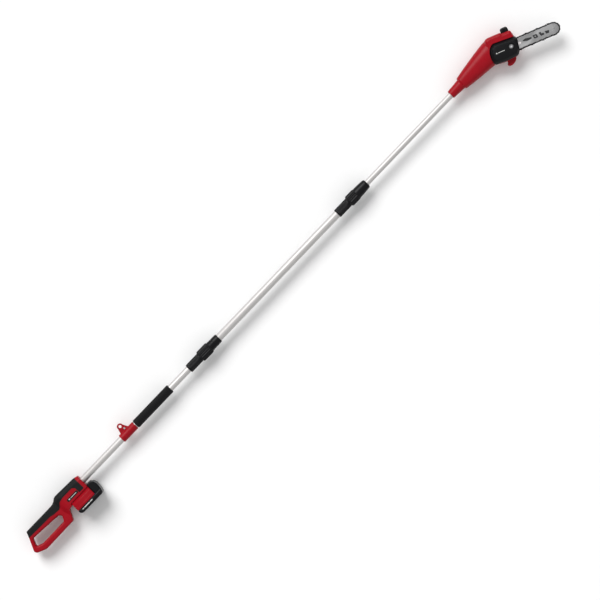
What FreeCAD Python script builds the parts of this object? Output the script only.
import FreeCAD, Part
import os
import re
from math import asin, cos, pi, sin, sqrt

import Sketcher
from FreeCAD import Placement, Rotation, Vector

# Battery telescoping pole saw, in millimetres.
# Pole frame: X along the pole from the handle to the saw head, with x = 0 at the joint
# between the handle pole and the extension pole. Y is the tool's upper side and Z is its
# right side, where the chain cover is. The saw lies on its left side, so Z is up.
# Bar frame: the pole frame moved to the sprocket axis and turned down by the bar's angle.
# Motor frame: the same origin, turned down by the motor's smaller angle.

DIMENSIONS = {
    # where the pole frame stands in the part's own frame
    "frame_x": -360.38, "frame_y": 33.69, "axis_height": 37.5,
    # pole tubes
    "pole_pitch": 670, "handle_tube_r": 11, "handle_tube_rear": -600, "handle_tube_front": -14,
    "extension_tube_r": 12.5, "extension_tube_rear": 26,
    "tube_wall": 1.5, "head_tube_r": 9.5, "head_tube_wall": 1.2,
    "head_tube_rear": 540, "head_tube_front": 1180, "tube_slip": 0.05, "slide_gap": 0.3,
    # lower coupling
    "collar_rear": -57, "collar_front": 18, "collar_r": 15, "thread_r": 15.5,
    "spigot_rear": -11, "spigot_r": 12, "flange_rear": 19, "flange_front": 24, "flange_r": 15.2,
    "journal_r": 13.7, "sleeve_front": 79, "sleeve_r": 16.5, "sleeve_tip_r": 15.5,
    "nut_rear": -5, "nut_front": 38.7, "nut_r": 19.3, "insert_r": 8, "pin_circle_r": 4.5,
    "pin_r": 1, "pin_hole_r": 1.3,
    # upper coupling
    "clamp_rear": 617, "clamp_r": 15, "clamp_thread_r": 14.5, "clamp_front": 690,
    "collet_rear": 670, "collet_front": 704, "collet_r": 12.2, "collet_tip_r": 11,
    "twist_rear": 668.4, "twist_front": 751, "twist_r": 19.5, "seal_rear": 736, "seal_front": 744,
    # leads inside the pole
    "lead_r": 2.2, "coil_r": 8, "coil_rear": 95, "coil_front": 530,
    # strap bracket, foam grip
    "bracket_rear": -361, "bracket_front": -300, "bracket_r": 14, "bracket_half": 6,
    "eye_x": -337, "eye_y": 31, "eye_r": 5, "eye_rim_r": 10, "clamp_screw_x": -331,
    "clamp_screw_y": 17, "foam_rear": -298, "foam_front": -141, "foam_r": 15,
    # handle
    "grip_half": 16, "housing_half": 28, "skin": 2, "shell_wall": 2.5, "step_x": -650,
    "housing_front": -540, "skin_front": -552, "boss_r": 4.5, "screw_r": 1.8, "screw_head_r": 3.4,
    "trigger_half": 5.5, "trigger_x": -668, "trigger_y": -10, "trigger_pin_r": 1.5,
    "lock_x": -692, "lock_y": 3, "lock_r": 4.7,
    # battery
    "battery_half": 37.5, "battery_rear": -616, "battery_front": -513, "battery_top": -26.3,
    "battery_split": -58, "battery_bottom": -73.5, "cell_r": 9.1, "cell_length": 65,
    "cell_count": 5, "rail_half": 14, "rail_top": -20,
    # saw head
    "sprocket_x": 1340.8, "sprocket_y": -18.2, "bar_angle": 23, "motor_angle": 8,
    "head_rear": 1133, "neck_front": 1182, "neck_r": 14, "neck_front_r": 17.5, "head_low": -37.5,
    "head_high": 30, "deck_z": 10, "head_wall": 2.5, "motor_z": -6, "motor_r": 18.5,
    "motor_rear": -107, "motor_front": -50, "motor_shaft_r": 1.6,
    # gearing
    "gear_teeth": 50, "pinion_teeth": 10, "gear_module": 1, "face_width": 6,
    # bar, chain and sprocket
    "bar_z": 17, "bar_thick": 4, "bar_half": 16, "nose_x": 180.3, "bar_tail": 22,
    "slot_rear": 28, "slot_front": 68, "slot_half": 3.7, "chain_half": 3.3, "chain_inner_r": 16.3,
    "chain_outer_r": 21, "cutter_r": 22.2,
    "sprocket_r": 15.6, "sprocket_root_r": 10.5, "spindle_r": 5, "stud_x": 33, "stud_r": 3,
    "lug_x": 50, "cover_low": 10.3, "cover_high": 36, "cover_wall": 2.5,
    "cap_x": 35, "cap_r": 13, "cap_base": 50, "cap_top": 66, "tension_y": -10.5, "tension_x": 43,
    "tension_z": 7.3,
}

doc = FreeCAD.newDocument("PoleSaw")
sheet = doc.addObject("Spreadsheet::Sheet", "Dims")
for row, (alias, size) in enumerate(DIMENSIONS.items(), start=1):
    sheet.set(f"A{row}", alias)
    sheet.set(f"B{row}", str(size))
    sheet.setAlias(f"B{row}", alias)
doc.recompute()

sub_parts = []


# ---- helpers -------------------------------------------------------------------------------

def cell(text):
    """Write a size as an expression that reads the sheet's cells."""
    def named(match):
        word = match.group(0)
        return "Dims." + word if word in DIMENSIONS else word
    return re.sub(r"[a-z][a-z_]*", named, str(text))


def value(text):
    return float(sheet.evalExpression(str(text)))


def bind(thing, size, text):
    thing.setExpression(size, cell(text))


def set_frame(thing, frame):
    """Stand a finished sub-part in the pole, bar or motor frame."""
    thing.Placement = Placement(Vector(0, 0, 0), Rotation(Vector(0, 0, 1), 0))
    if frame == "pole":
        bind(thing, "Placement.Base.x", "frame_x")
        bind(thing, "Placement.Base.y", "frame_y")
    else:
        bind(thing, "Placement.Base.x", "frame_x + sprocket_x")
        bind(thing, "Placement.Base.y", "frame_y + sprocket_y")
        bind(thing, "Placement.Rotation.Angle", f"-{frame}_angle")
    bind(thing, "Placement.Base.z", "axis_height")


def finish(thing, label, frame):
    thing.Label = label
    set_frame(thing, frame)
    sub_parts.append(thing)
    return thing


class Piece:
    """One PartDesign body, built up by pads, pockets and turned features."""

    def __init__(self, label, frame="pole"):
        self.body = doc.addObject("PartDesign::Body", label)
        self.count = 0
        finish(self.body, label, frame)

    def origin_feature(self, role):
        return [f for f in self.body.Origin.OriginFeatures if f.Role == role][0]

    def sketch(self, plane, level):
        self.count += 1
        drawn = self.body.newObject("Sketcher::SketchObject", f"{self.body.Name}_sketch_{self.count}")
        drawn.AttachmentSupport = (self.origin_feature(plane), [""])
        drawn.MapMode = "FlatFace"
        bind(drawn, "AttachmentOffset.Base.z", level)
        return drawn

    def outline(self, points, plane="XY_Plane", level="0"):
        """A closed outline through points, each held to the sheet's cells."""
        drawn = self.sketch(plane, level)
        places = [Vector(value(u), value(v), 0) for u, v in points]
        count = len(points)
        for index, start in enumerate(places):
            drawn.addGeometry(Part.LineSegment(start, places[(index + 1) % count]), False)
        for index in range(count):
            drawn.addConstraint(Sketcher.Constraint("Coincident", index, 2, (index + 1) % count, 1))
        for index, (point, place) in enumerate(zip(points, places)):
            self.hold(drawn, "DistanceX", index, 1, place.x, point[0])
            self.hold(drawn, "DistanceY", index, 1, place.y, point[1])
        return drawn

    def circle(self, centre, radius, plane="XY_Plane", level="0"):
        drawn = self.sketch(plane, level)
        middle = Vector(value(centre[0]), value(centre[1]), 0)
        drawn.addGeometry(Part.Circle(middle, Vector(0, 0, 1), value(radius)), False)
        self.hold(drawn, "DistanceX", 0, 3, middle.x, centre[0])
        self.hold(drawn, "DistanceY", 0, 3, middle.y, centre[1])
        number = drawn.addConstraint(Sketcher.Constraint("Radius", 0, value(radius)))
        drawn.setExpression(f"Constraints[{number}]", cell(radius))
        return drawn

    def hold(self, drawn, kind, geometry, point, distance, text):
        number = drawn.addConstraint(Sketcher.Constraint(kind, -1, 1, geometry, point, distance))
        drawn.setExpression(f"Constraints[{number}]", cell(text))

    def feature(self, kind, drawn):
        made = self.body.newObject(f"PartDesign::{kind}", f"{self.body.Name}_{kind}_{self.count}")
        made.Profile = drawn
        return made

    def pad(self, points, low, high, plane="XY_Plane"):
        made = self.feature("Pad", self.outline(points, plane, low))
        bind(made, "Length", f"({high}) - ({low})")
        return self

    def pocket(self, points, low, high, plane="XY_Plane"):
        made = self.feature("Pocket", self.outline(points, plane, high))
        bind(made, "Length", f"({high}) - ({low})")
        return self

    def round_pad(self, centre, radius, low, high, plane="XY_Plane"):
        made = self.feature("Pad", self.circle(centre, radius, plane, low))
        bind(made, "Length", f"({high}) - ({low})")
        return self

    def hole(self, centre, radius, low, high, plane="XY_Plane"):
        made = self.feature("Pocket", self.circle(centre, radius, plane, high))
        bind(made, "Length", f"({high}) - ({low})")
        return self

    def turn(self, points, plane="XY_Plane", axis="X_Axis"):
        made = self.feature("Revolution", self.outline(points, plane))
        made.ReferenceAxis = (self.origin_feature(axis), [""])
        made.Angle = 360
        return self

    def groove(self, points, plane="XY_Plane", axis="X_Axis"):
        made = self.feature("Groove", self.outline(points, plane))
        made.ReferenceAxis = (self.origin_feature(axis), [""])
        made.Angle = 360
        return self

    def ease(self, radius, chosen):
        """Round the edges that the chosen test picks."""
        doc.recompute()
        tip = self.body.Tip
        names = [f"Edge{i}" for i, edge in enumerate(tip.Shape.Edges, start=1) if chosen(edge)]
        rounded = self.body.newObject("PartDesign::Fillet", f"{self.body.Name}_round_{self.count}")
        rounded.Base = (tip, names)
        bind(rounded, "Radius", radius)
        return self


def upright(edge):
    """True for a straight edge along Z."""
    ends = [vertex.Point for vertex in edge.Vertexes]
    if len(ends) != 2:
        return False
    across = sqrt((ends[0].x - ends[1].x) ** 2 + (ends[0].y - ends[1].y) ** 2)
    return across < 0.001 and isinstance(edge.Curve, Part.Line)


def block(low, high):
    """A box between two corners given as texts."""
    made = doc.addObject("Part::Box", "block")
    for size, a, b in zip(("Length", "Width", "Height"), low, high):
        bind(made, size, f"({b}) - ({a})")
    for axis, text in zip("xyz", low):
        bind(made, f"Placement.Base.{axis}", text)
    return made


TURNS = {"x": Rotation(Vector(0, 1, 0), 90), "y": Rotation(Vector(1, 0, 0), -90), "z": Rotation()}


def rod(radius, start, length, along="x"):
    """A cylinder from start, along an axis of its frame."""
    made = doc.addObject("Part::Cylinder", "rod")
    made.Placement = Placement(Vector(0, 0, 0), TURNS[along])
    bind(made, "Radius", radius)
    bind(made, "Height", length)
    for axis, text in zip("xyz", start):
        bind(made, f"Placement.Base.{axis}", text)
    return made


def joined(*things):
    made = doc.addObject("Part::MultiFuse", "joined")
    made.Shapes = list(things)
    return made


def cut(base, tool):
    made = doc.addObject("Part::Cut", "cut")
    made.Base = base
    made.Tool = tool
    return made


def common(base, tool):
    made = doc.addObject("Part::Common", "common")
    made.Base = base
    made.Tool = tool
    return made


def group(label, things, frame="pole"):
    """A sub-part of separate solids, or of one primitive with a place of its own."""
    made = doc.addObject("Part::Compound", label)
    made.Links = list(things)
    return finish(made, label, frame)


def ring(label, rear, front, inner, outer, frame="pole"):
    points = [(rear, inner), (rear, outer), (front, outer), (front, inner)]
    return Piece(label, frame).turn(points)


def rectangle(low, high):
    return [low, (high[0], low[1]), high, (low[0], high[1])]


# ---- handle --------------------------------------------------------------------------------

GRIP_EDGE = [("-786", "-5"), ("-690", "-7"), ("-680", "-10"), ("-655", "-12")]
HOUSING_EDGE = [("step_x", "-8.5"), ("-645", "-4"), ("-638", "3"), ("-620", "6.5"),
                ("-580", "6.5"), ("-572", "0"), ("-572", "-20"), ("skin_front", "-20")]
FINGER_OPENING = [("-778", "-15.5"), ("-672", "-22.5"), ("-664", "-31"), ("-673", "-47.5"),
                  ("-768", "-47.5"), ("-789", "-40")]
LOOP_LOWER = [("-632", "-34"), ("step_x", "-68"), ("-772", "-69"), ("-802", "-56"),
              ("-807", "-47"), ("-783", "2")]
HANDLE_SCREWS = [("-796", "-49", "grip_half"), ("-716", "-58", "grip_half"),
                 ("-655", "-52", "grip_half"), ("-630", "-19", "housing_half"),
                 ("-547", "14.5", "housing_half")]


def side_levels(side, low, high):
    """Levels on the right half, or the same mirrored on the left half."""
    return (low, high) if side > 0 else (f"-({high})", f"-({low})")


def handle_shell(label, side):
    """Half of the D-shaped handle and of the motor-size housing that holds the pole."""
    loop = [("-778", "14.4 - skin"), ("-661", "14.4 - skin"), ("step_x", "19.5 - skin"),
            ("-640", "24"), ("-632", "0")] + LOOP_LOWER
    core = [("step_x + skin", "20.6 - skin"), ("-640", "27.4 - skin"), ("-560", "24.5 - skin"),
            ("skin_front", "22.9 - skin"), ("skin_front", "-26"), ("-616", "-26"),
            ("-617.5", "-33"), ("-632", "-34"), ("step_x + skin", "-20")]
    outer_skin = HOUSING_EDGE + [("skin_front", "22.9"), ("housing_front", "20.5"),
                                 ("housing_front - 1", "-26"), ("-616", "-26"), ("-617.5", "-33"),
                                 ("-632", "-34"), ("step_x", "-20")]
    grip_recess = GRIP_EDGE + [("step_x", "-8.5"), ("step_x", "20"), ("-790", "20")]
    half = Piece(label)
    half.pad(loop, *side_levels(side, "0", "grip_half"))
    half.pocket(grip_recess, *side_levels(side, "grip_half - skin", "grip_half + 1"))
    half.pad(core, *side_levels(side, "0", "housing_half - skin"))
    half.pad(outer_skin, *side_levels(side, "0", "housing_half"))
    half.pocket(FINGER_OPENING, *side_levels(side, "-1", "grip_half + 1"))
    grip_room = [("-772", "9.5"), ("-660", "9.5"), ("-645", "16"), ("-640", "-8"),
                 ("-664", "-17.5"), ("-672", "-18.5"), ("-768", "-10")]
    half.pocket(grip_room, *side_levels(side, "-1", "grip_half - skin - shell_wall"))
    housing_room = [("-645", "18"), ("-640", "22.5"), ("-560", "19.5"), ("-556", "19"),
                    ("-556", "-17"), ("-616", "-17"), ("-621", "-29"), ("-630", "-30"),
                    ("-645", "-16")]
    inside = "housing_half - skin - shell_wall"
    half.pocket(housing_room, *side_levels(side, "-1", inside))
    trigger_slot = [("-723", "-4"), ("-723", "-30"), ("-668", "-30"), ("-662", "-8")]
    half.pocket(trigger_slot, *side_levels(side, "-1", "trigger_half + 0.6"))
    rail_slot = rectangle(("-609.5", "-27"), ("housing_front + 1", "rail_top + 0.5"))
    half.pocket(rail_slot, *side_levels(side, "-1", "rail_half + 0.5"))
    contact_slot = rectangle(("-606", "-21"), ("-584", "-15"))
    half.pocket(contact_slot, *side_levels(side, "-1", "6.5"))
    for x, y, deep in HANDLE_SCREWS:
        half.round_pad((x, y), "boss_r", *side_levels(side, "0", f"{deep} - skin - 1"))
    pin_boss = side_levels(side, "trigger_half + 0.4", "grip_half - skin - 1")
    half.round_pad(("trigger_x", "trigger_y"), "3.2", *pin_boss)
    half.hole(("trigger_x", "trigger_y"), "trigger_pin_r + 0.02",
              *side_levels(side, "-1", "grip_half - skin - 2"))
    for x, y, deep in HANDLE_SCREWS:
        half.hole((x, y), "screw_r + 0.05", *side_levels(side, "-1", f"{deep} - 3"))
        if side < 0:
            half.hole((x, y), "screw_head_r + 0.3", f"-{deep} - 1", f"-{deep} + 3")
            half.hole((x, y), "screw_r + 0.05", f"-{deep} - 1", "1")
    if side < 0:
        half.hole(("lock_x", "lock_y"), "lock_r + 0.4", "-grip_half - 1", "-grip_half + 6")
    bore = [("handle_tube_rear - 2", "0"), ("handle_tube_rear - 2", "handle_tube_r + tube_slip"),
            ("housing_front + 2", "handle_tube_r + tube_slip"), ("housing_front + 2", "0")]
    half.groove(bore)
    return half


def soft_grip(label, side):
    """The rubbery cover over the top of one half of the handle."""
    rear = [("-783 - 3", "-5"), ("-778", "14.4"), ("-662", "14.4"), ("step_x", "21.4"),
            ("step_x", "-8.5"), ("-655", "-12"), ("-680", "-10"), ("-690", "-7")]
    rear_core = [("-792", "-14"), ("-778", "14.4 - skin"), ("-661", "14.4 - skin"),
                 ("step_x", "19.5 - skin"), ("step_x + 1", "-14")]
    front = HOUSING_EDGE + [("skin_front", "22.9"), ("-560", "24.5"), ("-640", "27.4"),
                            ("step_x", "21.4")]
    front_core = [("step_x + skin", "-24"), ("step_x + skin", "20.6 - skin"),
                  ("-640", "27.4 - skin"), ("-560", "24.5 - skin"),
                  ("skin_front + 1", "22.9 - skin"), ("skin_front + 1", "-24")]
    cover = Piece(label)
    cover.pad(rear, *side_levels(side, "0", "grip_half"))
    cover.pad(front, *side_levels(side, "0", "housing_half"))
    cover.pocket(rear_core, *side_levels(side, "-1", "grip_half - skin"))
    cover.pocket(front_core, *side_levels(side, "-1", "housing_half - skin"))
    loop_corner = [("step_x - 1", "-24"), ("step_x - 1", "17"), ("step_x", "19.5 - skin"),
                   ("-640", "24"), ("-640", "-24")]
    cover.pocket(loop_corner, *side_levels(side, "-1", "grip_half"))
    if side < 0:
        cover.hole(("lock_x", "lock_y"), "lock_r + 0.8", "-grip_half - 1", "-grip_half + 3")
    return cover


def screws(places, head_z, tip_z):
    """Pan-head screws that run along Z, heads on the left side of the tool."""
    made = []
    for x, y, deep in places:
        base = f"-{deep} + {head_z}"
        head = rod("screw_head_r", (x, y, base), "2.2", "z")
        shank = rod("screw_r", (x, y, base), f"{deep} - ({head_z}) + {tip_z}", "z")
        made.append(joined(head, shank))
    return made


def handle_unit():
    handle_shell("handle_shell_right", 1)
    handle_shell("handle_shell_left", -1)
    soft_grip("soft_grip_right", 1)
    soft_grip("soft_grip_left", -1)
    group("handle_screws", screws(HANDLE_SCREWS, "0.8", "8") + [strap_bracket()])
    ring("handle_tube", "handle_tube_rear", "handle_tube_front",
         "handle_tube_r - tube_wall", "handle_tube_r")
    group("main_switch", [joined(block(("-662", "0", "-7"), ("-645", "9", "7")),
                                 block(("-664", "-1.5", "-2"), ("-660", "0", "2")))])
    board = block(("-642", "15", "-20"), ("-604", "16.6", "20"))
    chip = block(("-632", "12", "-7"), ("-618", "15", "7"))
    group("control_board", [joined(board, chip)])
    group("handle_lead", [rod("lead_r", ("-604", "0", "0"), "560")])
    socket = Piece("socket_insert")
    socket.turn([("-44", "0"), ("-44", "handle_tube_r - tube_wall - tube_slip"),
                 ("-15", "handle_tube_r - tube_wall - tube_slip"), ("-15", "0")])
    for angle in (90, 210, 330):
        socket.hole(contact_place(angle), "pin_hole_r", "-30", "-15", "YZ_Plane")
    collar = [("collar_rear", "handle_tube_r + tube_slip"), ("collar_rear", "collar_r - 1"),
              ("collar_rear + 1", "collar_r"), ("-6", "collar_r"), ("-6", "thread_r"),
              ("collar_front", "thread_r"), ("collar_front", "spigot_r + slide_gap"),
              ("handle_tube_front", "spigot_r + slide_gap"),
              ("handle_tube_front", "handle_tube_r + tube_slip")]
    Piece("socket_collar").turn(collar)
    foam = [("foam_rear", "handle_tube_r + tube_slip"), ("foam_rear", "foam_r - 2"),
            ("foam_rear + 3", "foam_r"), ("foam_front - 3", "foam_r"),
            ("foam_front", "foam_r - 2"), ("foam_front", "handle_tube_r + tube_slip")]
    Piece("foam_grip").turn(foam)


def contact_place(angle):
    """Place of one electrical contact on its circle, in the YZ plane."""
    return (f"pin_circle_r * cos({angle} * 1 deg)", f"pin_circle_r * sin({angle} * 1 deg)")


def strap_bracket():
    """Clamp round the handle pole with an eye for a shoulder strap."""
    ear = [("bracket_rear", "-14"), ("bracket_front", "-14"), ("-303", "-4"), ("-318", "12"),
           ("eye_x + 9.5", "eye_y - 3"), ("eye_x", "eye_y + 2"), ("eye_x - 9.5", "eye_y - 3")]
    bracket = Piece("strap_bracket")
    bracket.turn([("bracket_rear", "0"), ("bracket_rear", "bracket_r"),
                  ("bracket_front", "bracket_r"), ("bracket_front", "0")])
    bracket.pad(ear, "-bracket_half", "bracket_half")
    bracket.round_pad(("eye_x", "eye_y"), "eye_rim_r", "-bracket_half", "bracket_half")
    bracket.hole(("eye_x", "eye_y"), "eye_r", "-bracket_half - 1", "bracket_half + 1")
    screw_place = ("clamp_screw_x", "clamp_screw_y")
    bracket.hole(screw_place, "screw_r + 0.05", "-bracket_half - 1", "bracket_half + 1")
    bracket.groove([("bracket_rear - 1", "0"), ("bracket_rear - 1", "handle_tube_r + tube_slip"),
                    ("bracket_front + 1", "handle_tube_r + tube_slip"), ("bracket_front + 1", "0")])
    head = rod("screw_head_r", screw_place + ("bracket_half",), "2.4", "z")
    shank = rod("screw_r", screw_place + ("-bracket_half - 3",), "2 * bracket_half + 3", "z")
    nut = rod("screw_head_r", screw_place + ("-bracket_half - 3",), "3", "z")
    return joined(head, shank, nut)


def trigger_group():
    lever = [("-720", "-13"), ("-716", "-20.5"), ("-676", "-23.5"), ("-671", "-21"),
             ("-664.5", "-14"), ("-664.5", "-7"), ("-672", "-5"), ("-700", "-9")]
    trigger = Piece("trigger")
    trigger.pad(lever, "-trigger_half", "trigger_half")
    trigger.ease("1.5", upright)
    trigger.hole(("trigger_x", "trigger_y"), "trigger_pin_r + 0.05", "-10", "10")
    reach = "2 * (grip_half - skin - 2.2)"
    pin_start = ("trigger_x", "trigger_y", "-grip_half + skin + 2.2")
    group("trigger_pin", [rod("trigger_pin_r", pin_start, reach, "z")])
    Piece("trigger_spring").turn([("4.5", "-6.8"), ("5.5", "-6.8"), ("5.5", "9.3"), ("4.5", "9.3")],
                                 axis="Y_Axis")
    spring = sub_parts[-1]
    bind(spring, "Placement.Base.x", "frame_x - 706")
    button = Piece("lock_off_button")
    button.round_pad(("lock_x", "lock_y"), "lock_r", "-grip_half - 2.5", "-grip_half + 5")
    button.round_pad(("lock_x", "lock_y"), "1.6", "-grip_half + 5", "-grip_half + 9")
    coil = Piece("lock_off_spring")
    coil.round_pad(("lock_x", "lock_y"), "3", "-grip_half + 5.1", "11.4")
    coil.hole(("lock_x", "lock_y"), "2.2", "-grip_half + 5", "12")


# ---- battery -------------------------------------------------------------------------------

def battery():
    """Slide-on pack with five cells across its width."""
    wide = ("-battery_half", "battery_half")
    top = Piece("battery_case_upper")
    top.pad(rectangle(("battery_rear + 1", "battery_split"), ("-540.5", "battery_top")), *wide)
    top.ease("4", lambda edge: upright(edge) and edge.Vertexes[0].Y > -30)
    top.pocket(rectangle(("battery_rear + 3.2", "battery_split - 1"), ("-543", "-32")),
               "-battery_half + 2.5", "battery_half - 2.5")
    top.pocket(rectangle(("-545", "battery_split - 1"), ("-540", "-50")),
               "-battery_half + 2.5", "battery_half - 2.5")
    top.pad(rectangle(("-608", "-33"), ("-543", "rail_top")), "-rail_half + 2.5", "rail_half - 2.5")
    top.pad(rectangle(("-608", "-23"), ("-543", "rail_top")), "-rail_half", "rail_half")
    top.pocket(rectangle(("-610", "-25"), ("-580", "rail_top + 1")), "-8", "8")
    base_outline = [("battery_rear", "battery_split"), ("battery_rear", "-66"),
                    ("-613", "-71"), ("-606", "battery_bottom"), ("-526", "battery_bottom"),
                    ("-519.5", "-71"), ("-516", "battery_split")]
    base = Piece("battery_case_lower")
    base.pad(base_outline, "-battery_half + 0.5", "battery_half - 0.5")
    room = [("battery_rear + 2.5", "battery_split + 1"), ("battery_rear + 2.5", "-67"),
            ("-611", "-70.8"), ("-521", "-70.8"), ("-519", "battery_split + 1")]
    base.pocket(room, "-battery_half + 3", "battery_half - 3")
    front_outline = [("-540.5", "battery_split"), ("-540.5", "-20"), ("-535", "-18"),
                     ("-524", "-19"), ("-516.5", "-26"), ("battery_front", "-38"),
                     ("-514.5", "battery_split")]
    base.pad(front_outline, "-battery_half + 0.5", "battery_half - 0.5")
    base.pocket([("-538", "battery_split - 1"), ("-538", "-30"), ("-517", "-30"),
                  ("-516", "-40"), ("-517", "battery_split - 1")],
                 "-battery_half + 3", "battery_half - 3")
    base.pocket(rectangle(("-541", "battery_split - 1"), ("-536", "-50")),
                 "-battery_half + 3", "battery_half - 3")
    base.pocket(rectangle(("-536", "-31"), ("-522", "-15")), "-12.4", "12.4")
    button = Piece("battery_release_button")
    button.pad(rectangle(("-535.6", "-26"), ("-522.4", "-17.2")), "-12", "12")
    button.ease("1.2", upright)
    cells = []
    for index in range(value_count("cell_count")):
        x = f"battery_rear + 12.6 + {index} * (2 * cell_r + 0.3)"
        cells.append(rod("cell_r", (x, "-61.2", "-cell_length / 2"), "cell_length", "z"))
    group("battery_cells", cells)
    tray = block(("-606", "-24.9", "-7"), ("-584", "-22.5", "7"))
    feet = [block((f"{x}", "-22.5", "-6"), (f"{x} + 3", "-17", "6")) for x in (-605, -596, -588)]
    group("battery_contacts", [joined(tray, *feet)])


def value_count(name):
    return int(value(name))


# ---- pole ----------------------------------------------------------------------------------

def lower_coupling():
    body = [("spigot_rear", "insert_r"), ("spigot_rear", "spigot_r"),
            ("flange_rear", "spigot_r"), ("flange_rear", "flange_r"),
            ("flange_front", "flange_r"), ("flange_front", "journal_r"), ("39", "journal_r"),
            ("39", "sleeve_r"), ("sleeve_front - 2", "sleeve_tip_r"),
            ("sleeve_front", "sleeve_tip_r - 1"),
            ("sleeve_front", "extension_tube_r + tube_slip"),
            ("extension_tube_rear", "extension_tube_r + tube_slip"),
            ("extension_tube_rear", "insert_r")]
    Piece("plug_body").turn(body)
    nut = [("nut_rear", "thread_r + slide_gap"), ("nut_rear", "nut_r - 1.5"),
           ("nut_rear + 2", "nut_r"), ("nut_front - 2", "nut_r"), ("nut_front", "nut_r - 1.5"),
           ("nut_front", "journal_r + slide_gap"),
           ("flange_front + slide_gap", "journal_r + slide_gap"),
           ("flange_front + slide_gap", "thread_r + slide_gap")]
    Piece("union_nut").turn(nut)
    insert = Piece("plug_insert")
    insert.turn([("spigot_rear", "0"), ("spigot_rear", "insert_r - tube_slip"),
                 ("extension_tube_rear", "insert_r - tube_slip"), ("extension_tube_rear", "0")])
    for angle in (90, 210, 330):
        insert.round_pad(contact_place(angle), "pin_r", "spigot_rear - 13", "spigot_rear + 2",
                         "YZ_Plane")


def extension():
    ring("extension_tube", "extension_tube_rear", "pole_pitch - 2",
         "extension_tube_r - tube_wall", "extension_tube_r")
    coil = [("extension_tube_rear", "0"), ("extension_tube_rear", "lead_r"),
            ("coil_rear", "lead_r"), ("coil_rear", "coil_r"), ("coil_front", "coil_r"),
            ("coil_front", "lead_r"), ("head_tube_rear + 20", "lead_r"),
            ("head_tube_rear + 20", "0")]
    Piece("coiled_lead").turn(coil)


def upper_coupling():
    collar = [("clamp_rear", "extension_tube_r + tube_slip"), ("clamp_rear", "clamp_r - 1"),
              ("clamp_rear + 1", "clamp_r"), ("pole_pitch - 2", "clamp_r"),
              ("pole_pitch - 2", "clamp_thread_r"), ("clamp_front", "clamp_thread_r"),
              ("clamp_front", "extension_tube_r + tube_slip")]
    Piece("clamp_collar").turn(collar)
    collet = Piece("collet")
    collet.turn([("collet_rear", "head_tube_r + slide_gap"), ("collet_rear", "collet_r"),
                 ("692", "collet_r"), ("collet_front", "collet_tip_r"),
                 ("collet_front", "head_tube_r + slide_gap")])
    collet.pocket(rectangle(("collet_rear + 6", "-0.8"), ("collet_front + 1", "0.8")), "0", "15")
    sleeve = [("twist_rear", "clamp_thread_r + slide_gap"), ("twist_rear", "15.5"),
              ("twist_rear + 3.5", "twist_r"), ("700", "twist_r"), ("745", "16"),
              ("twist_front", "14"), ("twist_front", "head_tube_r + 0.4"),
              ("seal_front", "head_tube_r + 0.4"), ("seal_front", "11.5"), ("seal_rear", "11.5"),
              ("seal_rear", "head_tube_r + 0.4"), ("708", "head_tube_r + 0.4"),
              ("708", "12.7"), ("694", "12.7"), ("694", "clamp_thread_r + slide_gap")]
    Piece("twist_sleeve").turn(sleeve)
    ring("wiper_seal", "seal_rear", "seal_front", "head_tube_r + 0.25", "11.45")


def head_pole():
    ring("head_tube", "head_tube_rear", "head_tube_front", "head_tube_r - head_tube_wall",
         "head_tube_r")
    ring("tube_guide", "head_tube_rear", "head_tube_rear + 20", "head_tube_r + 0.02", "10.7")
    group("head_lead", [rod("lead_r", ("head_tube_rear + 20", "0", "0"), "660")])


# ---- saw head ------------------------------------------------------------------------------

HEAD_STATIONS = [
    # place, centre height, half height, centre width, half width
    (1180, 1.3, 21.5, -0.5, 20.5), (1220, 1.3, 28, -1.8, 25.5), (1260, 2.3, 33, -3, 30),
    (1300, 2.3, 38, -3.6, 33.3), (1318, 2.6, 39, -3.6, 33.3),
]
COVER_OUTLINE = [("-30", "-34"), ("-36", "-28"), ("-39.5", "-14"), ("-38.5", "3"), ("-32.5", "18.2"),
                 ("-19.2", "30.4"), ("56.7", "25.7"), ("60.5", "16"), ("54.3", "-19.9"),
                 ("45.5", "-32.3"), ("33.3", "-34.3"), ("3.6", "-36")]
HEAD_FRONT = [("-38.2", "49.5"), ("-26", "54.6"), ("19", "54.6"), ("22", "50"), ("49.5", "50"),
              ("52", "46"), ("56", "28"), ("56", "-5"), ("52", "-20"), ("45.5", "-32.3"), ("33.3", "-34.3"),
              ("3.6", "-36"), ("-30.7", "-32")]
HOOK = [("38", "-33"), ("30", "-47"), ("17", "-54"), ("5", "-53"), ("2.5", "-47"), ("9", "-37"),
        ("10", "-33")]
HEAD_SCREWS = [("-24", "47", "-head_low"), ("47", "42", "-head_low"), ("46", "-22", "-head_low")]


def head_loft(inset):
    """The rear of the saw head: a smooth loft through ellipses, drawn in by inset."""
    sections = []
    for x, centre_y, half_y, centre_z, half_z in HEAD_STATIONS:
        ellipse = doc.addObject("Part::Ellipse", "section")
        ellipse.Placement = Placement(Vector(x, centre_y, centre_z), Rotation(Vector(1, 1, 1), 120))
        bind(ellipse, "MajorRadius", f"{half_y} - {inset}")
        bind(ellipse, "MinorRadius", f"{half_z} - {inset}")
        sections.append(ellipse)
    loft = doc.addObject("Part::Loft", "head_loft")
    loft.Sections = sections
    loft.Solid = True
    loft.Ruled = False
    return loft


def bar_frame_tool(label, steps):
    """A body drawn in the bar frame and stood in the pole frame, for use in booleans."""
    tool = Piece(label, "bar")
    sub_parts.pop()
    for kind, *arguments in steps:
        getattr(tool, kind)(*arguments)
    bind(tool.body, "Placement.Base.x", "sprocket_x")
    bind(tool.body, "Placement.Base.y", "sprocket_y")
    bind(tool.body, "Placement.Base.z", "0")
    return tool.body


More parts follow.
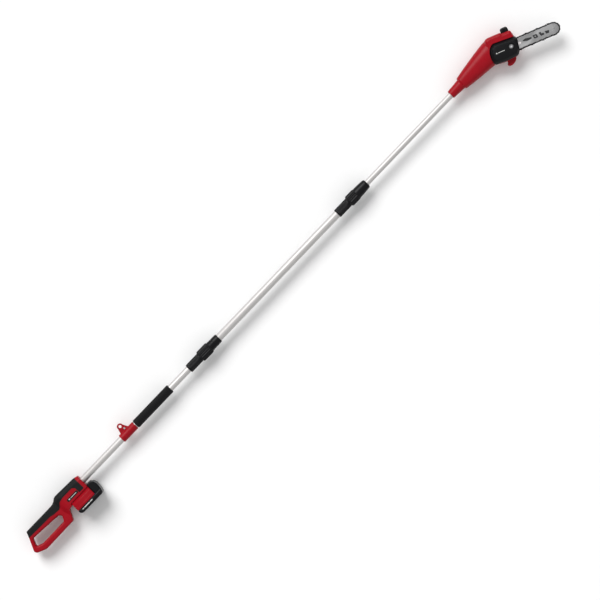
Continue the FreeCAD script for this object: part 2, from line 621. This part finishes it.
def head_solid(label):
    """The whole outside of the saw head: neck, swelling body, front and branch hook."""
    neck = doc.addObject("Part::Cone", "neck")
    neck.Placement = Placement(Vector(0, 0, 0), TURNS["x"])
    bind(neck, "Radius1", "neck_r")
    bind(neck, "Radius2", "neck_front_r")
    bind(neck, "Height", "neck_front - head_rear")
    bind(neck, "Placement.Base.x", "head_rear")
    bind(neck, "Placement.Base.y", "1")
    front = bar_frame_tool(label + "_front", [
        ("pad", HEAD_FRONT, "head_low", "head_high"),
        ("ease", "2", upright),
        ("pad", HOOK, "-8", "8"),
    ])
    return joined(head_loft("0"), neck, front)


def head_room(label):
    """The space inside the head for the motor, the gears and the oil tank."""
    gear_room = [("-44", "-12"), ("-44", "34"), ("-24", "50.5"), ("16", "51"), ("19", "46.9"),
                 ("46", "46.9"), ("49", "43"), ("53", "28"), ("53", "-4"), ("49", "-18"),
                 ("43", "-28.5"), ("32", "-31"), ("3.6", "-32.5"), ("-26", "-28")]
    upper_room = [("-34", "36"), ("-24", "50.5"), ("16", "51"), ("19", "46.9"), ("46", "46.9"),
                  ("49", "43"), ("52", "34"), ("-20", "36")]
    front = bar_frame_tool(label + "_room", [
        ("pad", gear_room, "head_low + head_wall", "deck_z - head_wall"),
        ("pad", upper_room, "0", "head_high - head_wall"),
    ])
    spaces = joined(block(("1186", "-60", "-60"), ("1294", "60", "60")),
                    block(("1290", "-60", "-60"), ("1317", "60", "deck_z - head_wall")))
    rear = common(head_loft("head_wall"), spaces)
    neck_bore = rod("head_tube_r + tube_slip", ("head_rear - 1", "0", "0"), "60")
    return joined(front, rear, neck_bore)


def head_openings(label):
    """Cover seat, filler mouth, spindle hole, stud holes and screw holes."""
    seat = [("-31", "-46"), ("-36.6", "-28.4"), ("-40", "-14"), ("-39", "3.2"), ("-33", "18.6"),
            ("-19.4", "30.9"), ("75", "24.8"), ("75", "-46")]
    cover_seat = bar_frame_tool(label + "_seat", [("pad", seat, "deck_z", "60")])
    drilled = [("round_pad", (u, v), "screw_r + 0.05", "-60", "20") for u, v, _ in HEAD_SCREWS]
    drilled += [("round_pad", (u, v), "screw_head_r + 0.3", "-60", "head_low + 3")
                for u, v, _ in HEAD_SCREWS]
    drilled.append(("round_pad", ("0", "0"), "spindle_r + 1.5", "0", "20"))
    drilled.append(("round_pad", ("stud_x", "0"), "stud_r + 0.02", "0", "20"))
    drilled.append(("round_pad", ("lug_x", "0"), "stud_r + 0.02", "0", "20"))
    drilled.append(("pad", rectangle(("tension_x - 7", "tension_y - 2.9"),
                                     ("tension_x + 7", "tension_y + 2.9")), "deck_z - 4", "20"))
    drilled.append(("round_pad", ("tension_y", "tension_z"), "1.45", "30", "60", "YZ_Plane"))
    drilled.append(("pad", rectangle(("cap_x - 8", "42"), ("cap_x + 8", "60")), "-8", "8"))
    holes = [bar_frame_tool(f"{label}_hole_{index}", [step]) for index, step in enumerate(drilled)]
    return joined(cover_seat, *holes)


def head_shell(label, side):
    """Half of the saw head's housing, split at the level of the pole's axis."""
    posts = [("round_pad", (u, v), "boss_r", "head_low + 1", "deck_z - 1")
             for u, v, _ in HEAD_SCREWS]
    pillars = [bar_frame_tool(f"{label}_post_{index}", [step]) for index, step in enumerate(posts)]
    hollow = cut(head_solid(label), head_room(label))
    shaped = cut(joined(hollow, *pillars), head_openings(label))
    low, high = ("0", "60") if side > 0 else ("-60", "0")
    half_space = block(("1100", "-120", low), ("1450", "80", high))
    return finish(common(shaped, half_space), label, "pole")


def motor_group():
    """Motor on its own slightly tilted axis, with a bevel pinion at the front."""
    can = Piece("motor_can", "motor")
    can.turn([("motor_rear", "motor_r - 1.5"), ("motor_rear", "motor_r"),
              ("motor_front", "motor_r"), ("motor_front", "6.6"), ("motor_front - 1.5", "6.6"),
              ("motor_front - 1.5", "motor_r - 1.5")])
    cap = Piece("motor_end_cap", "motor")
    cap.turn([("motor_rear - 9", "0"), ("motor_rear - 9", "8"), ("motor_rear - 4", "motor_r - 0.5"),
              ("motor_rear", "motor_r - 0.5"), ("motor_rear", "4.1"), ("motor_rear - 5", "4.1"),
              ("motor_rear - 5", "0")])
    bearings = [cut(rod(outer, (start, "0", "0"), length),
                    rod("motor_shaft_r + 0.03", (f"{start} - 1", "0", "0"), f"{length} + 2"))
                for start, length, outer in (("motor_rear - 4.9", "4", "4.05"),
                                             ("motor_front - 2", "4.5", "6.55"))]
    pair = group("motor_bearings", bearings, "motor")
    shaft = Piece("motor_rotor", "motor")
    shaft.turn([("motor_rear - 4.5", "0"), ("motor_rear - 4.5", "motor_shaft_r"),
                ("motor_rear + 3", "motor_shaft_r"), ("motor_rear + 3", "7"),
                ("motor_rear + 10", "7"), ("motor_rear + 10", "13"), ("motor_front - 10", "13"),
                ("motor_front - 10", "motor_shaft_r"), ("-17", "motor_shaft_r"), ("-17", "0")])
    can.turn([("motor_rear + 9", "14"), ("motor_rear + 9", "motor_r - 1"),
              ("motor_front - 9", "motor_r - 1"), ("motor_front - 9", "14")])
    for body in (can.body, cap.body, pair, shaft.body):
        bind(body, "Placement.Base.z", "axis_height + motor_z")


def bevel_teeth(count, pitch_angle, reach, face, half_tooth, heights):
    """Straight bevel teeth round X, each a wedge that narrows towards the apex at x = 0."""
    along = Vector(-cos(pitch_angle), sin(pitch_angle), 0)
    across = Vector(sin(pitch_angle), cos(pitch_angle), 0)
    addendum, dedendum = heights
    wires = []
    for distance in (reach, reach - face):
        size = distance / reach
        root = along * distance - across * (dedendum * size)
        tip = along * distance + across * (addendum * size)
        root_side = Vector(0, 0, 1.25 * half_tooth * size)
        tip_side = Vector(0, 0, 0.55 * half_tooth * size)
        corners = [root - root_side, root + root_side, tip + tip_side, tip - tip_side]
        wires.append(Part.makePolygon(corners + [corners[0]]))
    tooth = Part.makeLoft(wires, True, True)
    teeth = []
    for index in range(count):
        turned = tooth.copy()
        turned.rotate(Vector(0, 0, 0), Vector(1, 0, 0), 360 * index / count)
        teeth.append(turned)
    return teeth


def solid_feature(label, shape, frame, level):
    """A sub-part whose shape is worked out here from the sheet's values."""
    made = doc.addObject("Part::Feature", label)
    made.Shape = shape.removeSplitter()
    finish(made, label, frame)
    bind(made, "Placement.Base.z", f"axis_height + {level}")
    return made


def pinion_section(x, size, root_r, tip_r, half_tooth):
    """The pinion's toothed outline across its axis, with a tooth pointing along Z."""
    points = []
    count = int(value("pinion_teeth"))
    for index in range(count):
        middle = pi / 2 + 2 * pi * index / count
        for radius, width, side in ((root_r, 1.25, -1), (tip_r, 0.55, -1), (tip_r, 0.55, 1),
                                    (root_r, 1.25, 1)):
            angle = middle + side * width * half_tooth / radius
            points.append(Vector(x, radius * size * cos(angle), radius * size * sin(angle)))
    return Part.makePolygon(points + [points[0]])


def bevel_gears():
    """A ten-tooth pinion on the motor drives a fifty-tooth gear on the sprocket's axis."""
    module = value("gear_module")
    gear_r = value("gear_teeth") * module / 2
    pinion_r = value("pinion_teeth") * module / 2
    reach = sqrt(gear_r ** 2 + pinion_r ** 2)
    face = value("face_width")
    half_tooth = 0.35 * pi * module / 2
    shrink = (reach - face) / reach
    pinion_angle = asin(pinion_r / reach)
    root_r = pinion_r - 1.25 * module
    forward = Vector(1, 0, 0)
    ends = [pinion_section(-gear_r * size, size, root_r, pinion_r + 0.7, half_tooth)
            for size in (1, shrink)]
    hub = Part.makeCylinder(root_r - 0.4, 3.2, Vector(-gear_r - 3, 0, 0), forward)
    bore = Part.makeCylinder(value("motor_shaft_r"), 40, Vector(-gear_r - 20, 0, 0), forward)
    pinion = Part.makeLoft(ends, True, True).fuse(hub).cut(bore)
    solid_feature("bevel_pinion", pinion, "motor", "motor_z")

    gear_angle = pi / 2 - pinion_angle
    root = [Vector(-pinion_r - 1.35, gear_r - 0.3, 0), Vector((-pinion_r - 1.35) * shrink,
                                                             (gear_r - 0.3) * shrink, 0)]
    hub_r = value("spindle_r") + 0.02
    web = -pinion_r - 3.2
    points = [Vector(web, hub_r, 0), Vector(web, gear_r + 0.3, 0)] + root
    points += [Vector(root[1].x, hub_r, 0)]
    section = Part.Face(Part.makePolygon(points + [points[0]]))
    rim = section.revolve(Vector(0, 0, 0), forward, 360)
    teeth = bevel_teeth(int(value("gear_teeth")), gear_angle, reach, face, half_tooth, (0.6, 1.6))
    gear = rim.multiFuse(teeth)
    gear.rotate(Vector(0, 0, 0), Vector(0, 1, 0), 90)
    solid_feature("bevel_gear", gear, "motor", "motor_z")


def star(count, tip_r, root_r, tip_share):
    """Corners of a toothed wheel, as texts for an outline."""
    points = []
    pitch = 360 / count
    for index in range(count):
        middle = index * pitch
        for shift, radius in ((-0.5 + tip_share, root_r), (-tip_share / 2, tip_r),
                              (tip_share / 2, tip_r), (0.5 - tip_share, root_r)):
            angle = round(middle + shift * pitch, 3)
            points.append((f"({radius}) * cos({angle} * 1 deg)", f"({radius}) * sin({angle} * 1 deg)"))
    return points


SPROCKET_TEETH = 6
NOSE_TEETH = 9


def sprocket_group():
    spindle = Piece("sprocket_spindle", "bar")
    spindle.turn([("0", "-33"), ("spindle_r", "-33"), ("spindle_r", "22"), ("4.3", "22"),
                  ("4.3", "23.1"), ("spindle_r", "23.1"), ("spindle_r", "26"), ("0", "26")],
                 "XZ_Plane", "Z_Axis")
    bearings = [cut(rod(outer, ("0", "0", low), width, "z"),
                    rod("spindle_r + 0.05", ("0", "0", f"{low} - 1"), f"{width} + 2", "z"))
                for low, width, outer in (("-34.5", "6", "11"), ("3.4", "4", "10"))]
    group("spindle_bearings", bearings, "bar")
    sprocket = Piece("drive_sprocket", "bar")
    sprocket.pad(star(SPROCKET_TEETH, "sprocket_r", "sprocket_root_r", 0.3),
                 "bar_z - 3", "bar_z + 3")
    sprocket.round_pad(("0", "0"), "8.5", "bar_z - 5", "bar_z + 4.6")
    sprocket.hole(("0", "0"), "spindle_r + 0.02", "bar_z - 6", "bar_z + 6")
    clip = Piece("spindle_clip", "bar")
    clip.round_pad(("0", "0"), "8", "22.05", "23.05")
    clip.hole(("0", "0"), "4.35", "22", "24")
    clip.pocket(rectangle(("0", "-3"), ("12", "3")), "22", "24")


def bar_and_chain():
    low, high = "bar_z - bar_thick / 2", "bar_z + bar_thick / 2"
    bar = Piece("guide_bar", "bar")
    tail = [("bar_tail", "-11"), ("bar_tail + 10", "-bar_half"), ("nose_x", "-bar_half"),
            ("nose_x", "bar_half"), ("bar_tail + 10", "bar_half"), ("bar_tail", "11")]
    bar.pad(tail, low, high)
    bar.round_pad(("nose_x", "0"), "bar_half", low, high)
    bar.pocket(rectangle(("slot_rear + slot_half", "-slot_half"), ("slot_front - slot_half",
                                                                  "slot_half")), low, high)
    bar.hole(("slot_rear + slot_half", "0"), "slot_half", low, high)
    bar.hole(("slot_front - slot_half", "0"), "slot_half", low, high)
    bar.hole(("tension_x", "tension_y"), "2.1", low, high)
    bar.hole(("nose_x", "0"), "bar_half + 0.5", "bar_z - 0.75", "bar_z + 0.75")
    bar.round_pad(("nose_x", "0"), "3", low, high)
    nose = Piece("nose_sprocket", "bar")
    points = [(f"nose_x + {u}", v) for u, v in star(NOSE_TEETH, "bar_half - 0.4", "bar_half - 4", 0.24)]
    nose.pad(points, "bar_z - 0.6", "bar_z + 0.6")
    nose.hole(("nose_x", "0"), "3.05", "bar_z - 2", "bar_z + 2")
    chain = Piece("saw_chain", "bar")
    low, high = "bar_z - chain_half", "bar_z + chain_half"
    chain.pad(rectangle(("0", "-chain_outer_r"), ("nose_x", "chain_outer_r")), low, high)
    for centre in ("0", "nose_x"):
        chain.round_pad((centre, "0"), "chain_outer_r", low, high)
    cutter_step = "nose_x / 9"
    for index in range(1, 9, 2):
        start = f"{index} * {cutter_step}"
        outside = [(start, "-cutter_r"), (f"{start} + 8", "-cutter_r"),
                   (f"{start} + 8", "cutter_r"), (start, "cutter_r")]
        chain.pad(outside, "bar_z - 2.6", "bar_z + 2.6")
    chain.pocket(rectangle(("0", "-chain_inner_r"), ("nose_x", "chain_inner_r")), low, high)
    for centre in ("0", "nose_x"):
        chain.hole((centre, "0"), "chain_inner_r", low, high)


def hexagon(centre, flat):
    """Corners of a hexagon whose flats stand at the given distance from its centre."""
    corner = f"({flat}) / cos(30 * 1 deg)"
    return [(f"{centre[0]} + {corner} * cos({angle} * 1 deg)",
             f"{centre[1]} + {corner} * sin({angle} * 1 deg)") for angle in range(30, 390, 60)]


def cover_group():
    cover = Piece("sprocket_cover", "bar")
    cover.pad(COVER_OUTLINE, "cover_low", "cover_high")
    cover.ease("4", upright)
    cover.ease("3", lambda edge: all(abs(v.Z - value("cover_high")) < 0.01 for v in edge.Vertexes))
    room = [("-29", "-31"), ("-33.3", "-27"), ("-36.8", "-13"), ("-36", "2.4"), ("-30.3", "16.8"),
            ("-18.2", "27.8"), ("54", "23.4"), ("57.6", "15"), ("51.8", "-18.8"),
            ("44", "-29.8"), ("32.7", "-31.6"), ("3.6", "-33.4")]
    cover.pocket(room, "cover_low - 1", "cover_high - cover_wall")
    mouth = rectangle(("38", "-23.4"), ("64", "23.2"))
    cover.pocket(mouth, "cover_low - 1", "bar_z + 5")
    well = ("stud_x", "0")
    cover.round_pad(well, "11", "bar_z + 4.2", "cover_high - 1")
    cover.hole(well, "9", "29", "cover_high + 1")
    cover.hole(well, "stud_r + 0.5", "bar_z", "cover_high")
    nut = Piece("cover_nut", "bar")
    nut.pad(hexagon(well, "6.5"), "30.6", "35.6")
    nut.round_pad(well, "8.5", "29.1", "30.6")
    nut.hole(well, "stud_r + 0.3", "28", "37")
    studs = [rod("stud_r", (place, "0", "-2"), length, "z")
             for place, length in (("stud_x", "36.5"), ("lug_x", "22.5"))]
    plate = block(("stud_x - 6", "-6", "3.5"), ("lug_x + 1.5", "6", "7.4"))
    group("bar_studs", [joined(plate, *studs)], "bar")


def tension_group():
    level = "tension_z"
    screw_start = ("36", "tension_y", level)
    thread = rod("1.4", screw_start, "19.4")
    head = rod("2.4", ("55.3", "tension_y", level), "2.2")
    group("tension_screw", [joined(thread, head)], "bar")
    nut_block = Piece("tension_block", "bar")
    nut_block.pad(rectangle(("tension_x - 2.4", "tension_y - 2.6"),
                            ("tension_x + 2.4", "tension_y + 2.6")), "4.8", "9.8")
    nut_block.pad(rectangle(("tension_x - 2.4", "tension_y - 4"),
                            ("tension_x + 2.4", "tension_y + 4")), "4", "7")
    nut_block.round_pad(("tension_x", "tension_y"), "1.8", "9", "18.6")
    nut_block.hole(("tension_y", level), "1.7", "30", "55", "YZ_Plane")


def oil_group():
    tank = Piece("oil_tank", "bar")
    outline = [("-16", "29.5"), ("-14", "45"), ("42", "46.5"), ("42", "29.5")]
    tank.pad(outline, "-33", "7")
    room = [("-13.5", "32"), ("-11.8", "42.8"), ("39.5", "44"), ("39.5", "32")]
    tank.pocket(room, "-31", "5")
    tank.round_pad(("cap_x", "0"), "7.5", "-57", "-44", "XZ_Plane")
    tank.hole(("cap_x", "0"), "6", "-58", "-42", "XZ_Plane")
    cap = Piece("oil_cap", "bar")
    cap.turn([("0", "60"), ("8", "60"), ("8", "cap_base + 0.3"), ("cap_r - 1", "cap_base + 0.3"),
              ("cap_r", "cap_base + 1.5"), ("cap_r - 1", "cap_top - 3"), ("cap_r - 4", "cap_top"),
              ("0", "cap_top")], axis="Y_Axis")
    seal = Piece("oil_cap_seal", "bar")
    seal.turn([("5.6", "57.3"), ("7.6", "57.3"), ("7.6", "59.7"), ("5.6", "59.7")], axis="Y_Axis")
    for body in (cap.body, seal.body):
        bind(body, "Placement.Base.x", "frame_x + sprocket_x + cap_x * cos(bar_angle * 1 deg)")
        bind(body, "Placement.Base.y", "frame_y + sprocket_y - cap_x * sin(bar_angle * 1 deg)")
    pump = joined(rod("6.5", ("26", "4", "-24"), "18"), rod("2", ("44", "4", "-24"), "6"))
    supply = rod("1.6", ("35", "10.6", "-24"), "18.8", "y")
    outlet = rod("1.6", ("46", "7.8", "-26"), "33", "z")
    group("oil_pump", [joined(pump, supply, outlet)], "bar")


handle_unit()
trigger_group()
battery()
lower_coupling()
extension()
upper_coupling()
head_pole()
head_shell("head_shell_right", 1)
head_shell("head_shell_left", -1)
group("head_screws", screws(HEAD_SCREWS, "0.8", "0"), "bar")
motor_group()
bevel_gears()
sprocket_group()
bar_and_chain()
cover_group()
tension_group()
oil_group()
doc.recompute()

# ---- checks and files ----------------------------------------------------------------------

for thing in doc.Objects:
    if {"Invalid", "Error"} & set(thing.State):
        raise RuntimeError(f"{thing.Name} ({thing.Label}) did not recompute: {thing.State}")

os.makedirs("parts", exist_ok=True)
for piece in sub_parts:
    shape = piece.Shape
    if shape.isNull() or not shape.isValid() or not shape.Solids:
        raise RuntimeError(f"{piece.Label} is not a valid solid")
    shape.exportStep(f"parts/{piece.Label}.step")
    print(f"{piece.Label}: {len(shape.Solids)} solids, {shape.Volume / 1000:.1f} cm3")
print(f"{len(sub_parts)} sub-parts")
